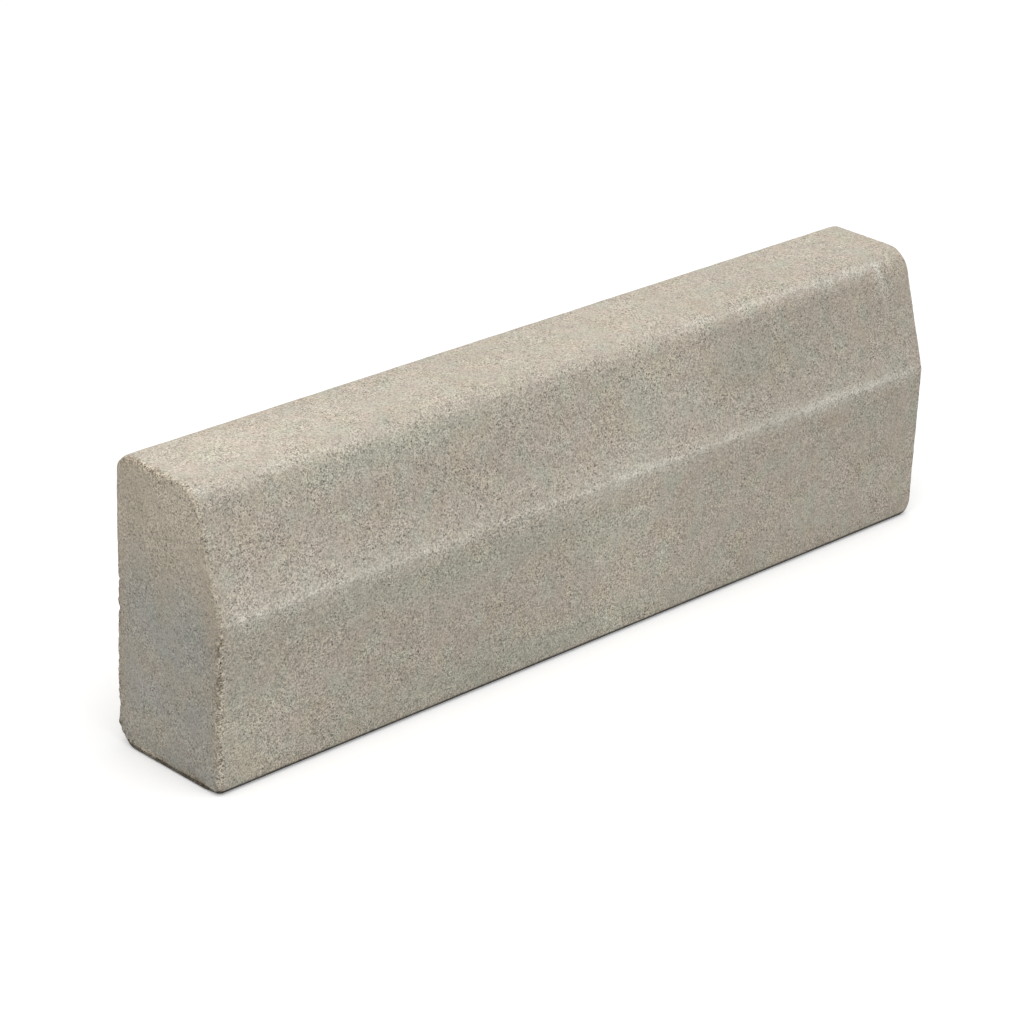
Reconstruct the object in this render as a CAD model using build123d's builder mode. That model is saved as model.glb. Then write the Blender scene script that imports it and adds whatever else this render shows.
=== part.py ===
from build123d import *
import os

# Concrete road kerb stone: one cast piece with a battered face and a rounded shoulder.
# The origin is at the middle of the bed. +X runs along the kerb, +Y points to its back
# (the footway side) and +Z is up. All sizes are in millimetres.

# Overall size
length = 1000.0
bed_width = 150.0
height = 300.0

# Road-side face: upright below, then leaning back up to the crown
upright_height = 173.0
batter_run = 38.0

# Rounding of the section, in order round its outline
front_foot_radius = 7.5
ridge_radius = 8.0
shoulder_radius = 32.0
back_crown_radius = 18.0
back_foot_radius = 28.0

# Rounding of the arris round each end face
end_arris_radius = 4.0

# Corners of the section before rounding, as (Y, Z)
front = -bed_width / 2
back = bed_width / 2
front_foot = (front, 0)
ridge = (front, upright_height)
shoulder = (front + batter_run, height)
back_crown = (back, height)
back_foot = (back, 0)

section_rounding = {
    front_foot: front_foot_radius,
    ridge: ridge_radius,
    shoulder: shoulder_radius,
    back_crown: back_crown_radius,
    back_foot: back_foot_radius,
}

# The kerb: its section drawn across the road, run along its length, with its end arrises eased
with BuildPart() as kerb_stone:
    with BuildSketch(Plane.YZ) as section:
        with BuildLine():
            Polyline(*section_rounding, close=True)
        make_face()
        for corner, radius in section_rounding.items():
            fillet(section.vertices().sort_by_distance(corner)[0], radius)
    extrude(amount=length / 2, both=True)

    end_faces = kerb_stone.faces().filter_by(Axis.X)
    fillet(end_faces.edges(), end_arris_radius)

kerb_stone.part.label = "kerb_stone"
os.makedirs("parts", exist_ok=True)
export_step(kerb_stone.part, "parts/kerb_stone.step")
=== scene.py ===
"""A concrete kerb stone on a pale studio floor.

The cast surface stands for the plain solid. It has the same section and length, with the
sandy relief, nibbled arrises and pale cement skin of a pressed kerb.
"""
from collections import namedtuple
import itertools
import math

import bpy
import numpy as np
from mathutils import Matrix, Vector


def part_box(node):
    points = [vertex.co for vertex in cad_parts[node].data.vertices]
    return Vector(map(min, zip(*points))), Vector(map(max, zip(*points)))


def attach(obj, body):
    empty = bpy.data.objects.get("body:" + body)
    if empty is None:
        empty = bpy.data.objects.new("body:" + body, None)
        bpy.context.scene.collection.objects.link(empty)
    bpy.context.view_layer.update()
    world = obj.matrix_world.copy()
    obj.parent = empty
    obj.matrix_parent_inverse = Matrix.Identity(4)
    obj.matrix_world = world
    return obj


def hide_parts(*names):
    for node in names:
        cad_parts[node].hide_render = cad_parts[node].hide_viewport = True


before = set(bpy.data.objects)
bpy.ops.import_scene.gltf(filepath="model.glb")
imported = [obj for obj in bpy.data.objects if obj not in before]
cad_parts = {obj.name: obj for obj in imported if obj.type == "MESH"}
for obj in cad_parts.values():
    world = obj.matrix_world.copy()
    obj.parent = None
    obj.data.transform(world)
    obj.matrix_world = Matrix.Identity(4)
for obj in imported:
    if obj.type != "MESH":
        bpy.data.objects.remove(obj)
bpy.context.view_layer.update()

# The kerb's length, width and height come from its solid. All sizes are in metres.
LOW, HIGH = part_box("kerb_stone")
LENGTH = HIGH.x - LOW.x
HEIGHT = HIGH.z - LOW.z
FRONT = LOW.y
BACK = HIGH.y

# Its section: the upright and leaning road side, and the rounding of each corner
UPRIGHT_HEIGHT = 0.173
BATTER_RUN = 0.038
FRONT_FOOT_RADIUS = 0.0075
RIDGE_RADIUS = 0.008
SHOULDER_RADIUS = 0.032
BACK_CROWN_RADIUS = 0.018
BACK_FOOT_RADIUS = 0.028
END_ARRIS_RADIUS = 0.004

# The foot corners are worn round, those of the far end most. The wear fades out along each face.
NEAR_CORNER_RADIUS = 0.010
FAR_CORNER_RADIUS = 0.015
CORNER_FADE = 0.020

# Spacing of the mesh: fine where the sandy faces and broken arrises are seen
ROAD_SIDE_STEP = 0.0018
TOP_STEP = 0.0026
BACK_STEP = 0.0026
BED_STEP = 0.016
ARC_STEP = 0.0022
END_STEP = 0.0018
END_ZONE = 0.056
MIDDLE_STEP = 0.0056
ARRIS_STEPS = 4
CAP_RINGS = 24

# Relief, as depths below the true face: a slow swell and sandy hollows
SWELL_DEPTH = 0.0005
SWELL_LENGTH = 0.12
HOLLOW_DEPTH = 0.0004
HOLLOW_LENGTH = 0.016
BED_EASE = 0.008

# Grains and chips lost at the end arrises
NIBBLE_DEPTH = 0.0022
NIBBLE_LENGTH = 0.0030
NIBBLE_REACH = 0.0019
CHIP_DEPTH = 0.0024
CHIP_LENGTH = 0.0075
CHIP_REACH = 0.0035
CHIP_START = 0.50
CHIP_WEAR_FROM = 0.75

# How worn the end arrises are, from 0 to 1: at places round the near end's girth, and at the far end
WEAR_NEAR_END = [
    (0.165, 0.75),
    (0.185, 0.40),
    (0.285, 0.30),
    (0.315, 0.50),
    (0.350, 1.00),
    (0.405, 1.00),
    (0.425, 0.10),
    (0.490, 0.15),
    (0.535, 1.00),
]
WEAR_FAR_END = 0.20

# How deep an arris grain lies, from 0 to 1, where it is lost to a brown hollow or stands out pale
# The hollows' dark brown is partly their own colour and partly painted shade.
LOST_FROM = 0.52
LOST_TO = 0.72
STANDING_FROM = 0.48
STANDING_TO = 0.28
STANDING_COVER = 0.75

# Random values that the relief's smooth noise is read from
SEED = 11
LATTICE_SIZE = 64
LAYER_SHIFT = 17.31
LATTICE = np.random.default_rng(SEED).random((LATTICE_SIZE,) * 3)
SWELL_LAYER = 1
HOLLOW_LAYER = 2
NIBBLE_LAYER = 3
CHIP_LAYER = 4

# Places along the girth, the length of section from the bed round the road side and over the top
RIDGE_GIRTH = 0.1787
SHOULDER_GIRTH = 0.306

# Pale cement on the ridge and the shoulder, from 0 to 1: a narrow line, with a softer bloom on the ridge.
# Each length of it that is stronger has a place along the kerb, a reach and a strength.
RIDGE_LINE_REACH = 0.0068
RIDGE_LINE_LEVEL = 0.16
RIDGE_LINE_LENGTHS = [(0.36, 0.11, 1.00), (0.07, 0.09, 0.45)]
RIDGE_BLOOM_BELOW = 0.014
RIDGE_BLOOM_ABOVE = 0.022
RIDGE_BLOOM_LEVEL = 0.28
RIDGE_BLOOM_LENGTHS = [(-0.42, 0.17, 0.30)]
RIDGE_END_FADE = 0.022
SHOULDER_LINE_REACH = 0.0050
SHOULDER_LINE_LEVEL = 0.05
SHOULDER_LINE_LENGTHS = [
    (0.32, 0.11, 0.50),
    (-0.36, 0.09, 0.36),
    (0.175, 0.04, 0.45),
    (0.43, 0.035, 0.50),
    (-0.49, 0.012, 0.50),
]

# A pale streak that runs down from the shoulder near the far end
STREAK_PLACE = 0.452
STREAK_REACH = 0.0035
STREAK_DROP = 0.060
STREAK_COVER = 1.3

# Greenish patches: place along the kerb and round the girth, reach along and round, strength
GREEN_PATCHES = [
    (-0.26, 0.285, 0.20, 0.018, 0.75),
    (-0.22, 0.148, 0.24, 0.022, 0.70),
    (-0.10, 0.028, 0.28, 0.020, 0.75),
    (0.07, 0.240, 0.035, 0.050, 0.65),
    (0.25, 0.250, 0.09, 0.030, 0.55),
    (0.00, 0.120, 0.06, 0.030, 0.55),
    (-0.48, 0.070, 0.05, 0.060, 0.50),
]

# Lighter and darker areas: place along the kerb and round the girth, reach along and round, change
# Some of them are painted light and shade: the whole top and road face lighter, the top lighter still at
# the near end, and the batter darker near the far end.
TONE_AND_PAINTED_LIGHT_PATCHES = [
    (0.00, 0.365, 2.00, 0.05, 0.05),
    (-0.44, 0.350, 0.18, 0.04, 0.11),
    (-0.48, 0.200, 0.09, 0.03, 0.03),
    (0.23, 0.230, 0.05, 0.035, -0.06),
    (-0.20, 0.245, 0.35, 0.035, -0.045),
    (-0.10, 0.294, 0.50, 0.008, -0.045),
    (-0.49, 0.285, 0.05, 0.020, -0.05),
    (0.26, 0.350, 0.09, 0.025, -0.06),
    (-0.02, 0.330, 0.08, 0.02, 0.05),
    (0.46, 0.060, 0.12, 0.05, 0.05),
    (0.38, 0.265, 0.26, 0.04, -0.11),
    (0.37, 0.200, 0.20, 0.03, -0.08),
    (0.20, 0.290, 0.20, 0.010, -0.06),
    (-0.16, 0.235, 0.13, 0.04, -0.05),
    (0.12, 0.265, 0.05, 0.04, 0.06),
    (-0.46, 0.050, 0.08, 0.06, 0.11),
    (0.03, 0.090, 0.06, 0.12, 0.11),
    (0.05, 0.090, 0.50, 0.10, 0.080),
    (0.02, 0.166, 0.25, 0.012, 0.045),
]

# Lighter and darker areas of the end faces: place across and up, reach across and up, change
END_TONE_PATCHES = [
    (-0.015, 0.275, 0.040, 0.045, 0.10),
    (-0.060, 0.120, 0.018, 0.070, -0.05),
    (0.030, 0.080, 0.030, 0.080, 0.03),
]

# The top, back and ends are smooth. The road side's far half grows smoother, most in a band at its end.
TOP_SMOOTH_EASE = 0.015
FAR_SMOOTH = 0.55
FAR_SMOOTH_FROM = -0.05
FAR_SMOOTH_TO = 0.35
FAR_BAND_SMOOTH = 0.8
FAR_BAND_FROM = 0.455
FAR_BAND_TO = 0.470

# The end faces are grey low in the middle, brown near their arrises, and pale brown high up
END_BROWN_REACH = 0.014
END_BROWN_FROM = 0.010
END_BROWN_TO = 0.040
END_PALE_FROM = 0.150
END_PALE_TO = 0.240

# Concrete colours
PINKISH = (0.582, 0.512, 0.431, 1)
GREENISH = (0.520, 0.529, 0.432, 1)
BROWN = (0.545, 0.485, 0.400, 1)
PALE_BROWN = (0.622, 0.548, 0.440, 1)
END_GREY = (0.525, 0.494, 0.442, 1)
END_GREEN = (0.490, 0.500, 0.434, 1)
STAIN = (0.585, 0.508, 0.390, 1)
CEMENT = (0.720, 0.680, 0.590, 1)
STANDING_GRAIN = (0.740, 0.640, 0.490, 1)
# Dark brown of the arris hollows: partly their own colour, partly painted shade
LOST_GRAIN_AND_SHADE = (0.345, 0.280, 0.200, 1)

# The foot: a faint shade, and a painted contact shadow, a dark line at the floor that is fainter on the
# end faces
FOOT_SHADE = 0.97
FOOT_SHADE_FROM = 0.026
FOOT_SHADE_TO = 0.010
FOOT_SHADOW_LINE = 0.18
END_FOOT_SHADOW_LINE = 0.38
FOOT_SHADOW_LINE_FROM = 0.0064
FOOT_SHADOW_LINE_TO = 0.0044

# Octaves of the noise in the concrete: single grains, clouds and stains
GRAIN_DETAIL = 1.0
CLOUD_DETAIL = 2.0
STAIN_DETAIL = 3.0

# Sand grains: texture scales per metre, and how far each one lightens and darkens
SAND_SCALE = 780.0
SAND_SPREAD = 0.37
FINE_SCALE = 1200.0
FINE_SPREAD = 0.38
CLUMP_SCALE = 75.0
CLUMP_SPREAD = 0.14
CLOUD_SCALE = 9.0
CLOUD_SPREAD = 0.06

# How strongly the grains show: from patch to patch, less where it is smooth and more on the arrises
ROUGH_SCALE = 31.0
ROUGH_FROM = 0.3
ROUGH_TO = 0.7
ROUGH_LEAST = 0.72
ROUGH_MOST = 1.28
SMOOTH_LOSS = 0.20
ARRIS_GAIN = 0.8

# Pores: holes in a share of the cells, dark to an inner distance and gone at an outer one
PORE_SCALE = 340.0
PORE_SHARE = 0.25
PORE_SHADE = 0.62
PORE_INNER = 0.15
PORE_OUTER = 0.45

# Greenish clouds and specks, brown stains, and the patchiness of the pale cement
TINT_SCALE = 37.0
TINT_SHARE = 0.75
TINT_FROM = 0.40
TINT_TO = 0.75
SPECK_SCALE = 200.0
SPECK_SPREAD = 0.20
STAIN_SCALE = 29.0
STAIN_SHARE = 0.50
STAIN_FROM = 0.45
STAIN_TO = 0.75
CEMENT_SCALE = 55.0
CEMENT_FROM = 0.25
CEMENT_TO = 0.70
CEMENT_LEAST = 0.65
CEMENT_MOST = 1.20

# Surface finish
BUMP_SCALE = 520.0
BUMP_DISTANCE = 0.0006
ROUGHNESS_LEAST = 0.80
ROUGHNESS_MOST = 0.96
SPECULAR = 0.25

# Studio: a pale floor that is white where it is seen, soft light all round, and one soft lamp.
# The floor glows more far out, where less of the lamp's light reaches it.
WHITE = (1, 1, 1, 1)
FLOOR_SIZE = 16.0
FLOOR_BOUNCE_COLOUR = (0.42, 0.42, 0.42, 1)
FLOOR_GLOW = 0.24
FLOOR_FAR_GLOW = 0.31
FLOOR_FAR_FROM = 1.2
FLOOR_FAR_TO = 3.0
WORLD_STRENGTH = 0.696
LAMP_PLACE = Vector((-0.4, -0.7, 3.0))
LAMP_AIM = Vector((0, 0, 0.12))
LAMP_SIZE = 2.2
LAMP_WATTS = 27.5

# Camera: the photograph's viewing angle, with the picture taken to be 1024 pixels square
PICTURE_SIDE = 1024
SENSOR_WIDTH = 36.0
FOCAL_PIXELS = 3569.6
CAMERA_AZIMUTH = math.radians(-45.677)
CAMERA_ELEVATION = math.radians(24.357)
CAMERA_ROLL = math.radians(2.573)
CAMERA_DISTANCE = 3.6082
CAMERA_TARGET = Vector((0, 0, 0.15))
CAMERA_SIDESTEP = -0.037948
CAMERA_RISE = -0.027443

# One corner of the section, and the mesh step along the face after it
Corner = namedtuple("Corner", "y z radius step_after")

# The kerb's points and faces. Each point has its normal, its distance from the nearest end arris,
# its girth, and how far it faces along the kerb: 1 on the end faces.
Surface = namedtuple("Surface", "points normals arris girth end quads fans")


def smooth_noise(points, wavelength, layer):
    """Smooth noise from 0 to 1 at each point, with bumps about one wavelength across."""
    scaled = points / wavelength + layer * LAYER_SHIFT
    cell = np.floor(scaled).astype(int)
    part = scaled - cell
    part = part * part * (3 - 2 * part)
    total = np.zeros(len(points))
    for corner in itertools.product((0, 1), repeat=3):
        weight = np.where(corner, part, 1 - part).prod(axis=1)
        index = (cell + corner) % LATTICE_SIZE
        total += weight * LATTICE[tuple(index.T)]
    return total


def ramp(value, start, end):
    """0 at start and before it, 1 at end and past it, and smooth between. Either may be the larger."""
    part = np.clip((value - start) / (end - start), 0, 1)
    return part * part * (3 - 2 * part)


def hump(value, reach):
    """1 at zero, falling away smoothly over about one reach to either side."""
    return np.exp(-(value / reach) ** 2)


def rounded_corner(before, here, after, radius):
    """Points and outward normals of the arc that rounds one corner of the section."""
    back = (before - here) / np.linalg.norm(before - here)
    ahead = (after - here) / np.linalg.norm(after - here)
    half = math.acos(back @ ahead) / 2
    middle = (back + ahead) / np.linalg.norm(back + ahead)
    centre = here + middle * radius / math.sin(half)
    turn = math.pi - 2 * half
    steps = max(2, math.ceil(turn * radius / ARC_STEP))
    first = here + back * radius / math.tan(half) - centre
    angles = math.atan2(first[1], first[0]) - np.linspace(0, turn, steps + 1)
    normals = np.column_stack([np.cos(angles), np.sin(angles)])
    return centre + radius * normals, normals


def section_outline():
    """Points (y, z), outward normals and girth, once round the section from the front foot."""
    corners = [
        Corner(FRONT, 0, FRONT_FOOT_RADIUS, ROAD_SIDE_STEP),
        Corner(FRONT, UPRIGHT_HEIGHT, RIDGE_RADIUS, ROAD_SIDE_STEP),
        Corner(FRONT + BATTER_RUN, HEIGHT, SHOULDER_RADIUS, TOP_STEP),
        Corner(BACK, HEIGHT, BACK_CROWN_RADIUS, BACK_STEP),
        Corner(BACK, 0, BACK_FOOT_RADIUS, BED_STEP),
    ]
    places = [np.array([corner.y, corner.z]) for corner in corners]
    arcs = []
    for index, corner in enumerate(corners):
        after = places[(index + 1) % len(places)]
        arcs.append(rounded_corner(places[index - 1], places[index], after, corner.radius))
    points, normals = [], []
    for corner, (arc, arc_normals), (next_arc, _) in zip(corners, arcs, arcs[1:] + arcs[:1]):
        run = next_arc[0] - arc[-1]
        steps = math.ceil(np.linalg.norm(run) / corner.step_after)
        share = np.arange(1, steps)[:, None] / steps
        points += [arc, arc[-1] + share * run]
        normals += [arc_normals, np.repeat(arc_normals[-1:], steps - 1, axis=0)]
    points, normals = np.concatenate(points), np.concatenate(normals)
    runs = np.linalg.norm(np.diff(points, axis=0), axis=1)
    return points, normals, np.concatenate([[0], np.cumsum(runs)])


def stations():
    """Places along the kerb between its end arrises, closer together near the ends."""
    straight = LENGTH / 2 - END_ARRIS_RADIUS
    zone = np.arange(END_STEP, END_ZONE, END_STEP)
    inner = straight - END_ZONE
    middle = np.linspace(-inner, inner, math.ceil(2 * inner / MIDDLE_STEP) + 1)
    return np.concatenate([zone - straight, middle, straight - zone[::-1]])


def grid_faces(ring_count, ring_size):
    """Quads between neighbouring rings, and fans round the two points that close the ends."""
    around = np.arange(ring_size)
    following = (around + 1) % ring_size
    row = np.arange(ring_count - 1)[:, None] * ring_size
    first, beside = (row + around).ravel(), (row + following).ravel()
    quads = np.column_stack([first, first + ring_size, beside + ring_size, beside])
    last = (ring_count - 1) * ring_size
    near_middle = ring_count * ring_size
    near_fan = np.column_stack([np.full(ring_size, near_middle), around, following])
    far_fan = np.column_stack([np.full(ring_size, near_middle + 1), last + following, last + around])
    return quads, np.concatenate([near_fan, far_fan])


def kerb_surface():
    """The true faces as a grid of rings across the kerb, from one end's middle to the other's."""
    outline, outward, girth = section_outline()
    count = len(outline)
    middle = outline.mean(axis=0)
    half = LENGTH / 2
    eased = outline - outward * END_ARRIS_RADIUS
    cap_reach = np.linalg.norm(eased - middle, axis=1).min()
    rings = []

    def add_ring(x, loop, end, spread, arris):
        """One loop at x. The normal's parts are end, along the kerb, and spread, across it."""
        points = np.column_stack([np.full(count, x), loop])
        normals = np.column_stack([np.full(count, end), outward * spread])
        rings.append((points, normals, np.full(count, arris)))

    def add_cap(side, shares):
        """The flat end face as loops that shrink to its middle."""
        for share in shares:
            add_ring(side * half, eased + (middle - eased) * share, side, 0.0, share * cap_reach)

    def add_arris(side, angles):
        """The rounded arris between the end face and the long faces."""
        for angle in angles:
            inset = END_ARRIS_RADIUS * (1 - math.sin(angle))
            x = side * (half - END_ARRIS_RADIUS * (1 - math.cos(angle)))
            add_ring(x, outline - outward * inset, side * math.cos(angle), math.sin(angle), 0.0)

    cap_shares = np.arange(1, CAP_RINGS)[::-1] / CAP_RINGS
    quarter = np.linspace(0, math.pi / 2, ARRIS_STEPS + 1)
    add_cap(-1, cap_shares)
    add_arris(-1, quarter)
    for x in stations():
        add_ring(x, outline, 0.0, 1.0, half - END_ARRIS_RADIUS - abs(x))
    add_arris(1, quarter[::-1])
    add_cap(1, cap_shares[::-1])

    points, normals, arris = (np.concatenate(values) for values in zip(*rings))
    normals = np.concatenate([normals, [[-1, 0, 0], [1, 0, 0]]])
    quads, fans = grid_faces(len(rings), count)
    return Surface(
        points=np.concatenate([points, [[-half, *middle], [half, *middle]]]),
        normals=normals,
        arris=np.concatenate([arris, [cap_reach, cap_reach]]),
        girth=np.concatenate([np.tile(girth, len(rings)), [0, 0]]),
        end=np.abs(normals[:, 0]),
        quads=quads,
        fans=fans,
    )


def round_corners(points):
    """The points, moved in to the worn foot corners."""
    x, y, z = points.T
    depths = np.column_stack([LENGTH / 2 - np.abs(x), np.minimum(y - FRONT, BACK - y), z])
    fade = np.prod(1 - ramp(depths, 0, CORNER_FADE), axis=1)
    most = np.where(x < 0, NEAR_CORNER_RADIUS, FAR_CORNER_RADIUS)
    radius = END_ARRIS_RADIUS + (most - END_ARRIS_RADIUS) * fade
    short = np.maximum(radius[:, None] - depths, 0)
    share = np.minimum(radius / np.maximum(np.linalg.norm(short, axis=1), radius), 1)
    worn = np.maximum(depths, radius[:, None] - short * share[:, None])
    worn_y = np.where(y < 0, FRONT + worn[:, 1], BACK - worn[:, 1])
    return np.column_stack([np.sign(x) * (LENGTH / 2 - worn[:, 0]), worn_y, worn[:, 2]])


def arris_wear(surface):
    """How worn the nearest end arris is, from 0 to 1."""
    places, levels = zip(*WEAR_NEAR_END)
    near_end = np.interp(surface.girth, places, levels)
    return np.where(surface.points[:, 0] < 0, near_end, WEAR_FAR_END)


def arris_grains(surface):
    """How deep each point lies among the grains, and how much of the worn arris is there."""
    depth = smooth_noise(surface.points, NIBBLE_LENGTH, NIBBLE_LAYER)
    return depth, arris_wear(surface) * hump(surface.arris, NIBBLE_REACH)


def arris_chips(surface):
    """Larger chips here and there along the end arrises, from 0 to 1."""
    broken = ramp(smooth_noise(surface.points, CHIP_LENGTH, CHIP_LAYER), CHIP_START, 1.0)
    worn = ramp(arris_wear(surface), CHIP_WEAR_FROM, 1.0)
    return worn * broken * hump(surface.arris, CHIP_REACH)


def relief(surface):
    """How far each point lies below its true face. The bed stays flat on the floor."""
    swell = SWELL_DEPTH * smooth_noise(surface.points, SWELL_LENGTH, SWELL_LAYER)
    hollow = HOLLOW_DEPTH * smooth_noise(surface.points, HOLLOW_LENGTH, HOLLOW_LAYER)
    depth, near_arris = arris_grains(surface)
    lost = NIBBLE_DEPTH * depth * near_arris + CHIP_DEPTH * arris_chips(surface)
    return (swell + hollow + lost) * ramp(surface.points[:, 2], 0, BED_EASE)


def standing_grains(surface):
    """How much of the pale grains that stand out along the arrises shows, from 0 to 1."""
    depth, near_arris = arris_grains(surface)
    return STANDING_COVER * near_arris * ramp(depth, STANDING_FROM, STANDING_TO)


def lost_grains_and_shade(surface):
    """How much brown hollow shows along the arrises, from 0 to 1. Its darkness is partly painted shade.
    """
    depth, near_arris = arris_grains(surface)
    hollow = near_arris * ramp(depth, LOST_FROM, LOST_TO)
    return np.clip(arris_chips(surface) + hollow, 0, 1)


def level_along(x, level, lengths):
    """A level along the kerb, raised on some lengths."""
    return level + sum(strength * hump(x - place, reach) for place, reach, strength in lengths)


def ridge_cement(x, girth):
    """Pale cement on the ridge: a narrow line and a softer bloom, which fade out at the ends."""
    over = girth - RIDGE_GIRTH
    line = level_along(x, RIDGE_LINE_LEVEL, RIDGE_LINE_LENGTHS) * hump(over, RIDGE_LINE_REACH)
    below = hump(np.minimum(over, 0), RIDGE_BLOOM_BELOW)
    above = np.exp(-np.maximum(over, 0) / RIDGE_BLOOM_ABOVE)
    bloom = level_along(x, RIDGE_BLOOM_LEVEL, RIDGE_BLOOM_LENGTHS) * below * above
    return (line + bloom) * ramp(LENGTH / 2 - np.abs(x), 0, RIDGE_END_FADE)


def shoulder_cement(x, girth):
    """Pale cement along the shoulder, with the streak that runs down from it."""
    over = girth - SHOULDER_GIRTH
    line = level_along(x, SHOULDER_LINE_LEVEL, SHOULDER_LINE_LENGTHS) * hump(over, SHOULDER_LINE_REACH)
    drop = ramp(over, -STREAK_DROP, 0) * (over < 0)
    return line + STREAK_COVER * hump(x - STREAK_PLACE, STREAK_REACH) * drop


def cement_cover(surface):
    """How much pale cement shows at each point, from 0 to 1."""
    x = surface.points[:, 0]
    faces = ridge_cement(x, surface.girth) + shoulder_cement(x, surface.girth)
    return np.clip(faces * (1 - surface.end), 0, 1)


def patches(first, second, places):
    """The sum of soft patches over two coordinates."""
    total = np.zeros(len(first))
    for at_first, at_second, reach_first, reach_second, strength in places:
        total += strength * hump(first - at_first, reach_first) * hump(second - at_second, reach_second)
    return total


def tone_and_painted_light(surface):
    """Brightness of each point: 1 where it is neither lighter nor darker than the rest. Part of it is
    painted light and shade on the long faces.
    """
    x, y, z = surface.points.T
    faces = patches(x, surface.girth, TONE_AND_PAINTED_LIGHT_PATCHES)
    ends = patches(y, z, END_TONE_PATCHES)
    return 1 + faces * (1 - surface.end) + ends * surface.end


def brown_tint(surface):
    """How brown the end faces are near their arrises, from 0 to 1. It fades out at the foot."""
    above_foot = ramp(surface.points[:, 2], END_BROWN_FROM, END_BROWN_TO)
    return hump(surface.arris, END_BROWN_REACH) * surface.end * above_foot


def smoothness(surface):
    """1 on the smooth top, back and ends, less on the road side's far half, and 0 on its near half."""
    x = surface.points[:, 0]
    top = ramp(surface.girth, SHOULDER_GIRTH - TOP_SMOOTH_EASE, SHOULDER_GIRTH + TOP_SMOOTH_EASE)
    far = FAR_SMOOTH * ramp(x, FAR_SMOOTH_FROM, FAR_SMOOTH_TO)
    band = FAR_BAND_SMOOTH * ramp(x, FAR_BAND_FROM, FAR_BAND_TO)
    return np.maximum.reduce([surface.end, top, far, band * (1 - surface.end)])


def build_kerb():
    """The kerb as one closed mesh, with the masks that its concrete needs."""
    surface = kerb_surface()
    points = round_corners(surface.points - surface.normals * relief(surface)[:, None])
    mesh = bpy.data.meshes.new("kerb_concrete")
    mesh.from_pydata(points.tolist(), [], surface.quads.tolist() + surface.fans.tolist())
    mesh.polygons.foreach_set("use_smooth", [True] * len(mesh.polygons))
    masks = {
        "cement": cement_cover(surface),
        "green": np.clip(patches(surface.points[:, 0], surface.girth, GREEN_PATCHES), 0, 1),
        # Tone, with painted light and shade on the long faces
        "tone_and_painted_light": tone_and_painted_light(surface),
        "brown": brown_tint(surface),
        "end_face": surface.end,
        "arris": arris_grains(surface)[1],
        "smooth": smoothness(surface),
        "standing": standing_grains(surface),
        # Brown hollows on the arrises, partly painted shade
        "lost": lost_grains_and_shade(surface),
    }
    for name, values in masks.items():
        mesh.attributes.new(name, "FLOAT", "POINT").data.foreach_set("value", values)
    kerb = bpy.data.objects.new("kerb_concrete", mesh)
    bpy.context.scene.collection.objects.link(kerb)
    return kerb


def add_node(tree, kind, inputs, **settings):
    """A new node with its settings, and inputs that are plain values or other nodes' sockets."""
    node = tree.nodes.new(kind)
    for name, value in settings.items():
        setattr(node, name, value)
    for name, value in inputs.items():
        if isinstance(value, bpy.types.NodeSocket):
            tree.links.new(value, node.inputs[name])
        else:
            node.inputs[name].default_value = value
    return node


def calculate(tree, operation, first, second):
    """One step of arithmetic on two numbers."""
    return add_node(tree, "ShaderNodeMath", {0: first, 1: second}, operation=operation).outputs[0]


def remap(tree, value, start, end, low, high):
    """A smooth step from low at start to high at end."""
    inputs = {"Value": value, "From Min": start, "From Max": end, "To Min": low, "To Max": high}
    return add_node(tree, "ShaderNodeMapRange", inputs, interpolation_type="SMOOTHSTEP").outputs["Result"]


def vary(tree, value, spread):
    """A brightness from 1 - spread to 1 + spread for a value from 0 to 1."""
    inputs = {"Value": value, "To Min": 1 - spread, "To Max": 1 + spread}
    return add_node(tree, "ShaderNodeMapRange", inputs).outputs["Result"]


def noise(tree, place, scale, detail):
    """Cloudy noise from 0 to 1."""
    inputs = {"Vector": place, "Scale": scale, "Detail": detail}
    return add_node(tree, "ShaderNodeTexNoise", inputs).outputs["Fac"]


def mask(tree, name):
    """One of the kerb's masks."""
    return add_node(tree, "ShaderNodeAttribute", {}, attribute_name=name).outputs["Fac"]


def blend(tree, share, first, second):
    """A colour between two others. The mix node's inputs 0, 6 and 7 are its share and its colours."""
    node = add_node(tree, "ShaderNodeMix", {0: share, 6: first, 7: second}, data_type="RGBA")
    return node.outputs[2]


def grains(tree, place, scale):
    """Rounded cells: each one's random value from 0 to 1, and the distance from its middle."""
    cells = add_node(tree, "ShaderNodeTexVoronoi", {"Vector": place, "Scale": scale})
    value = add_node(tree, "ShaderNodeTexWhiteNoise", {"Vector": cells.outputs["Position"]})
    return value.outputs["Value"], cells.outputs["Distance"]


def pores(tree, place):
    """1 in small round holes between the sand grains, and 0 elsewhere."""
    value, distance = grains(tree, place, PORE_SCALE)
    chosen = calculate(tree, "LESS_THAN", value, PORE_SHARE)
    hole = remap(tree, distance, PORE_INNER, PORE_OUTER, 1.0, 0.0)
    return calculate(tree, "MULTIPLY", chosen, hole)


def grain_contrast(tree, place):
    """How strongly the sand grains show: 1 is their plain strength."""
    cloudy = noise(tree, place, ROUGH_SCALE, CLOUD_DETAIL)
    patchy = remap(tree, cloudy, ROUGH_FROM, ROUGH_TO, ROUGH_LEAST, ROUGH_MOST)
    smooth = calculate(tree, "MULTIPLY", mask(tree, "smooth"), SMOOTH_LOSS)
    coarse = calculate(tree, "MULTIPLY", mask(tree, "arris"), ARRIS_GAIN)
    return calculate(tree, "ADD", calculate(tree, "SUBTRACT", patchy, smooth), coarse)


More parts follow.
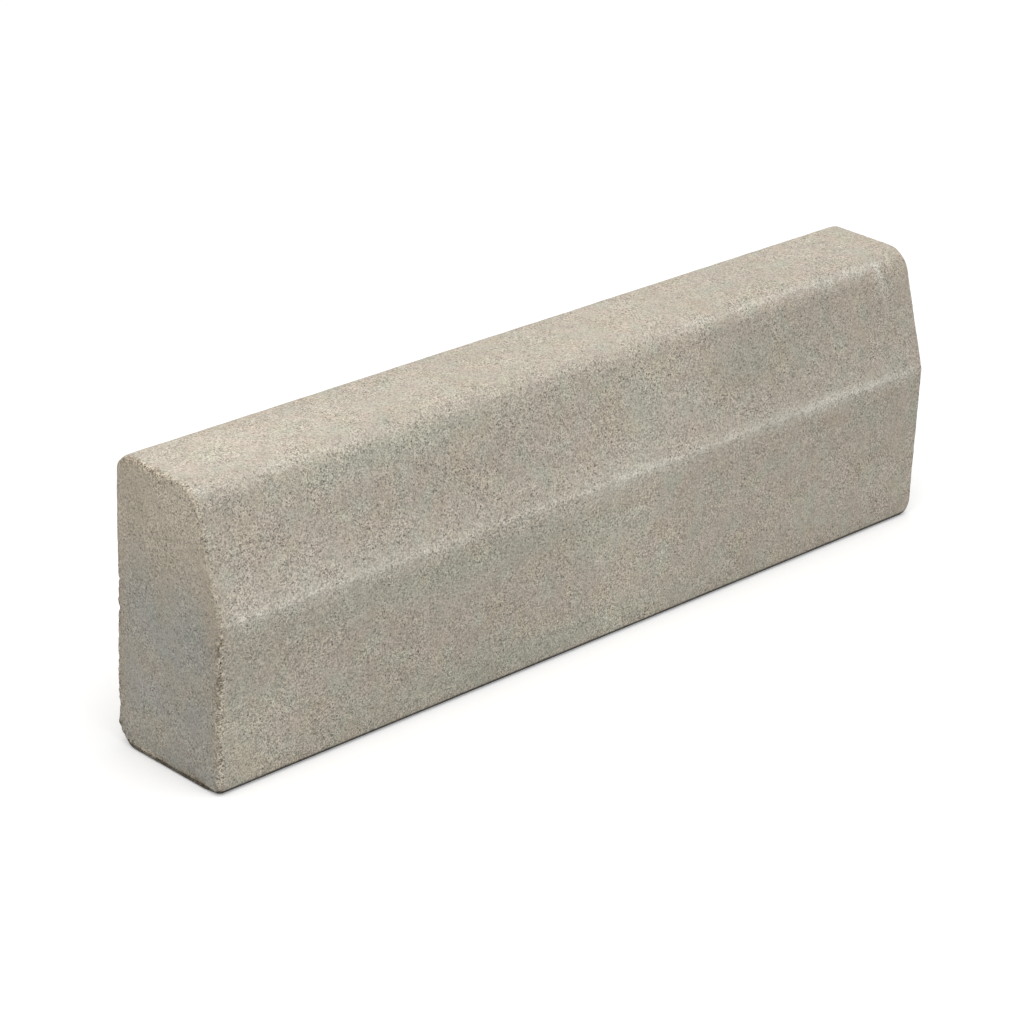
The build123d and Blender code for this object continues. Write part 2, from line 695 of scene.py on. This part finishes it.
def grain_brightness(tree, place, holes):
    """Brightness of the sand grains and dark pores, with clumps and cloudy areas."""
    value, _ = grains(tree, place, SAND_SCALE)
    sand = vary(tree, value, SAND_SPREAD)
    fine = vary(tree, noise(tree, place, FINE_SCALE, GRAIN_DETAIL), FINE_SPREAD)
    pore = remap(tree, holes, 0.0, 1.0, 1.0, PORE_SHADE)
    rough = calculate(tree, "MULTIPLY", calculate(tree, "MULTIPLY", sand, fine), pore)
    change = calculate(tree, "SUBTRACT", rough, 1.0)
    shown = calculate(tree, "MULTIPLY", change, grain_contrast(tree, place))
    brightness = calculate(tree, "ADD", shown, 1.0)
    for scale, spread in ((CLUMP_SCALE, CLUMP_SPREAD), (CLOUD_SCALE, CLOUD_SPREAD)):
        cloudy = vary(tree, noise(tree, place, scale, CLOUD_DETAIL), spread)
        brightness = calculate(tree, "MULTIPLY", brightness, cloudy)
    return brightness


def sand_colour(tree, place, height):
    """Pinkish and greenish sand with brown stains. The end faces are grey, brown and pale brown."""
    cloudy = noise(tree, place, TINT_SCALE, STAIN_DETAIL)
    tint = remap(tree, cloudy, TINT_FROM, TINT_TO, 0.0, TINT_SHARE)
    speck = vary(tree, noise(tree, place, SPECK_SCALE, GRAIN_DETAIL), SPECK_SPREAD)
    green = calculate(tree, "MAXIMUM", tint, mask(tree, "green"))
    green = calculate(tree, "ADD", green, calculate(tree, "SUBTRACT", speck, 1.0))
    faces = blend(tree, green, PINKISH, GREENISH)
    ends = blend(tree, mask(tree, "brown"), blend(tree, green, END_GREY, END_GREEN), BROWN)
    ends = blend(tree, remap(tree, height, END_PALE_FROM, END_PALE_TO, 0.0, 1.0), ends, PALE_BROWN)
    colour = blend(tree, mask(tree, "end_face"), faces, ends)
    blotchy = noise(tree, place, STAIN_SCALE, STAIN_DETAIL)
    stain = remap(tree, blotchy, STAIN_FROM, STAIN_TO, 0.0, STAIN_SHARE)
    return blend(tree, stain, colour, STAIN)


def edge_colour(tree, place, colour):
    """The colour with pale cement on the worn edges, and grains standing and lost on the arrises. The
    lost grains' dark brown is partly painted shade.
    """
    cloudy = noise(tree, place, CEMENT_SCALE, STAIN_DETAIL)
    patchy = remap(tree, cloudy, CEMENT_FROM, CEMENT_TO, CEMENT_LEAST, CEMENT_MOST)
    cement = calculate(tree, "MULTIPLY", mask(tree, "cement"), patchy)
    colour = blend(tree, cement, colour, CEMENT)
    colour = blend(tree, mask(tree, "standing"), colour, STANDING_GRAIN)
    # Lost grains: dark brown, partly painted shade in the hollows.
    return blend(tree, mask(tree, "lost"), colour, LOST_GRAIN_AND_SHADE)


def painted_foot_shade(tree, height):
    """Painted shade near the floor, 1 above the foot: a faint shade and a dark contact shadow line."""
    shade = remap(tree, height, FOOT_SHADE_TO, FOOT_SHADE_FROM, FOOT_SHADE, 1.0)
    darkest = remap(tree, mask(tree, "end_face"), 0.0, 1.0, FOOT_SHADOW_LINE, END_FOOT_SHADOW_LINE)
    # The dark line is a painted contact shadow where the kerb meets the floor.
    line = remap(tree, height, FOOT_SHADOW_LINE_TO, FOOT_SHADOW_LINE_FROM, darkest, 1.0)
    return calculate(tree, "MULTIPLY", shade, line)


def concrete_colour(tree, place, holes):
    """The colour of sand and cement, lighter and darker with the grain, the tone with its painted light
    and shade, and the painted shade at the foot.
    """
    height = add_node(tree, "ShaderNodeSeparateXYZ", {"Vector": place}).outputs["Z"]
    colour = edge_colour(tree, place, sand_colour(tree, place, height))
    brightness = grain_brightness(tree, place, holes)
    # Painted light and shade: in the tone, and the contact shadow at the foot.
    for change in (mask(tree, "tone_and_painted_light"), painted_foot_shade(tree, height)):
        brightness = calculate(tree, "MULTIPLY", brightness, change)
    inputs = {0: colour, "Scale": brightness}
    return add_node(tree, "ShaderNodeVectorMath", inputs, operation="SCALE").outputs[0]


def concrete():
    """Matt sandy concrete."""
    material = bpy.data.materials.new("concrete")
    material.use_nodes = True
    tree = material.node_tree
    place = tree.nodes.new("ShaderNodeTexCoord").outputs["Object"]
    holes = pores(tree, place)
    rough = noise(tree, place, BUMP_SCALE, CLOUD_DETAIL)
    height = calculate(tree, "SUBTRACT", rough, holes)
    bump = add_node(tree, "ShaderNodeBump", {"Height": height, "Distance": BUMP_DISTANCE})
    roughness = remap(tree, rough, 0.0, 1.0, ROUGHNESS_LEAST, ROUGHNESS_MOST)
    shader = tree.nodes["Principled BSDF"]
    shader.inputs["Specular IOR Level"].default_value = SPECULAR
    tree.links.new(roughness, shader.inputs["Roughness"])
    tree.links.new(concrete_colour(tree, place, holes), shader.inputs["Base Color"])
    tree.links.new(bump.outputs["Normal"], shader.inputs["Normal"])
    return material


def seen_directly(tree):
    """1 on rays from the camera, a glossy surface or glass, and 0 on soft bounced light."""
    path = tree.nodes.new("ShaderNodeLightPath")
    total = path.outputs["Is Camera Ray"]
    for name in ("Is Glossy Ray", "Is Transmission Ray"):
        total = calculate(tree, "MAXIMUM", total, path.outputs[name])
    return total


def seen_mix(tree, lighting, seen):
    """A shader that lights the kerb with one look and shows another where it is seen."""
    inputs = {0: seen_directly(tree), 1: lighting.outputs[0], 2: seen.outputs[0]}
    return add_node(tree, "ShaderNodeMixShader", inputs).outputs[0]


def build_floor():
    """A pale floor. Where it is seen it is white and a little overlit, and keeps the kerb's shadow."""
    bpy.ops.mesh.primitive_plane_add(size=FLOOR_SIZE)
    floor = bpy.context.object
    floor.name = "studio_floor"
    material = bpy.data.materials.new("studio_floor")
    material.use_nodes = True
    tree = material.node_tree
    tree.nodes.clear()
    bounce = add_node(tree, "ShaderNodeBsdfDiffuse", {"Color": FLOOR_BOUNCE_COLOUR})
    white = add_node(tree, "ShaderNodeBsdfDiffuse", {"Color": WHITE})
    place = tree.nodes.new("ShaderNodeTexCoord").outputs["Object"]
    reach = add_node(tree, "ShaderNodeVectorMath", {0: place}, operation="LENGTH").outputs["Value"]
    strength = remap(tree, reach, FLOOR_FAR_FROM, FLOOR_FAR_TO, FLOOR_GLOW, FLOOR_FAR_GLOW)
    glow = add_node(tree, "ShaderNodeEmission", {"Color": WHITE, "Strength": strength})
    seen = add_node(tree, "ShaderNodeAddShader", {0: white.outputs[0], 1: glow.outputs[0]})
    add_node(tree, "ShaderNodeOutputMaterial", {"Surface": seen_mix(tree, bounce, seen)})
    floor.data.materials.append(material)


def build_world():
    """Soft light from all round, and plain white where the surroundings are seen."""
    world = bpy.data.worlds.new("studio")
    world.use_nodes = True
    bpy.context.scene.world = world
    tree = world.node_tree
    tree.nodes.clear()
    soft = add_node(tree, "ShaderNodeBackground", {"Color": WHITE, "Strength": WORLD_STRENGTH})
    white = add_node(tree, "ShaderNodeBackground", {"Color": WHITE})
    add_node(tree, "ShaderNodeOutputWorld", {"Surface": seen_mix(tree, soft, white)})


def build_lamp():
    """One wide soft lamp above the kerb."""
    lamp = bpy.data.lights.new("overhead", "AREA")
    lamp.shape = "SQUARE"
    lamp.size = LAMP_SIZE
    lamp.energy = LAMP_WATTS
    holder = bpy.data.objects.new("overhead", lamp)
    holder.location = LAMP_PLACE
    holder.rotation_euler = (LAMP_AIM - LAMP_PLACE).to_track_quat("-Z", "Y").to_euler()
    bpy.context.scene.collection.objects.link(holder)


def build_camera():
    """A view of the near end and the road-side face, turned by the photograph's slight roll."""
    back = Vector((
        math.sin(CAMERA_AZIMUTH) * math.cos(CAMERA_ELEVATION),
        -math.cos(CAMERA_AZIMUTH) * math.cos(CAMERA_ELEVATION),
        math.sin(CAMERA_ELEVATION),
    ))
    level = Vector((math.cos(CAMERA_AZIMUTH), math.sin(CAMERA_AZIMUTH), 0))
    upright = back.cross(level)
    right = math.cos(CAMERA_ROLL) * level + math.sin(CAMERA_ROLL) * upright
    up = back.cross(right)
    place = CAMERA_TARGET + CAMERA_DISTANCE * back + CAMERA_SIDESTEP * right + CAMERA_RISE * up
    data = bpy.data.cameras.new("camera")
    data.sensor_width = SENSOR_WIDTH
    data.lens = FOCAL_PIXELS / PICTURE_SIDE * SENSOR_WIDTH
    camera = bpy.data.objects.new("camera", data)
    camera.matrix_world = Matrix.Translation(place) @ Matrix((right, up, back)).transposed().to_4x4()
    bpy.context.scene.collection.objects.link(camera)
    bpy.context.scene.camera = camera


kerb = build_kerb()
kerb.data.materials.append(concrete())
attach(kerb, "root")
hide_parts("kerb_stone")

build_floor()
build_world()
build_lamp()
build_camera()
bpy.context.scene.view_settings.view_transform = "Standard"
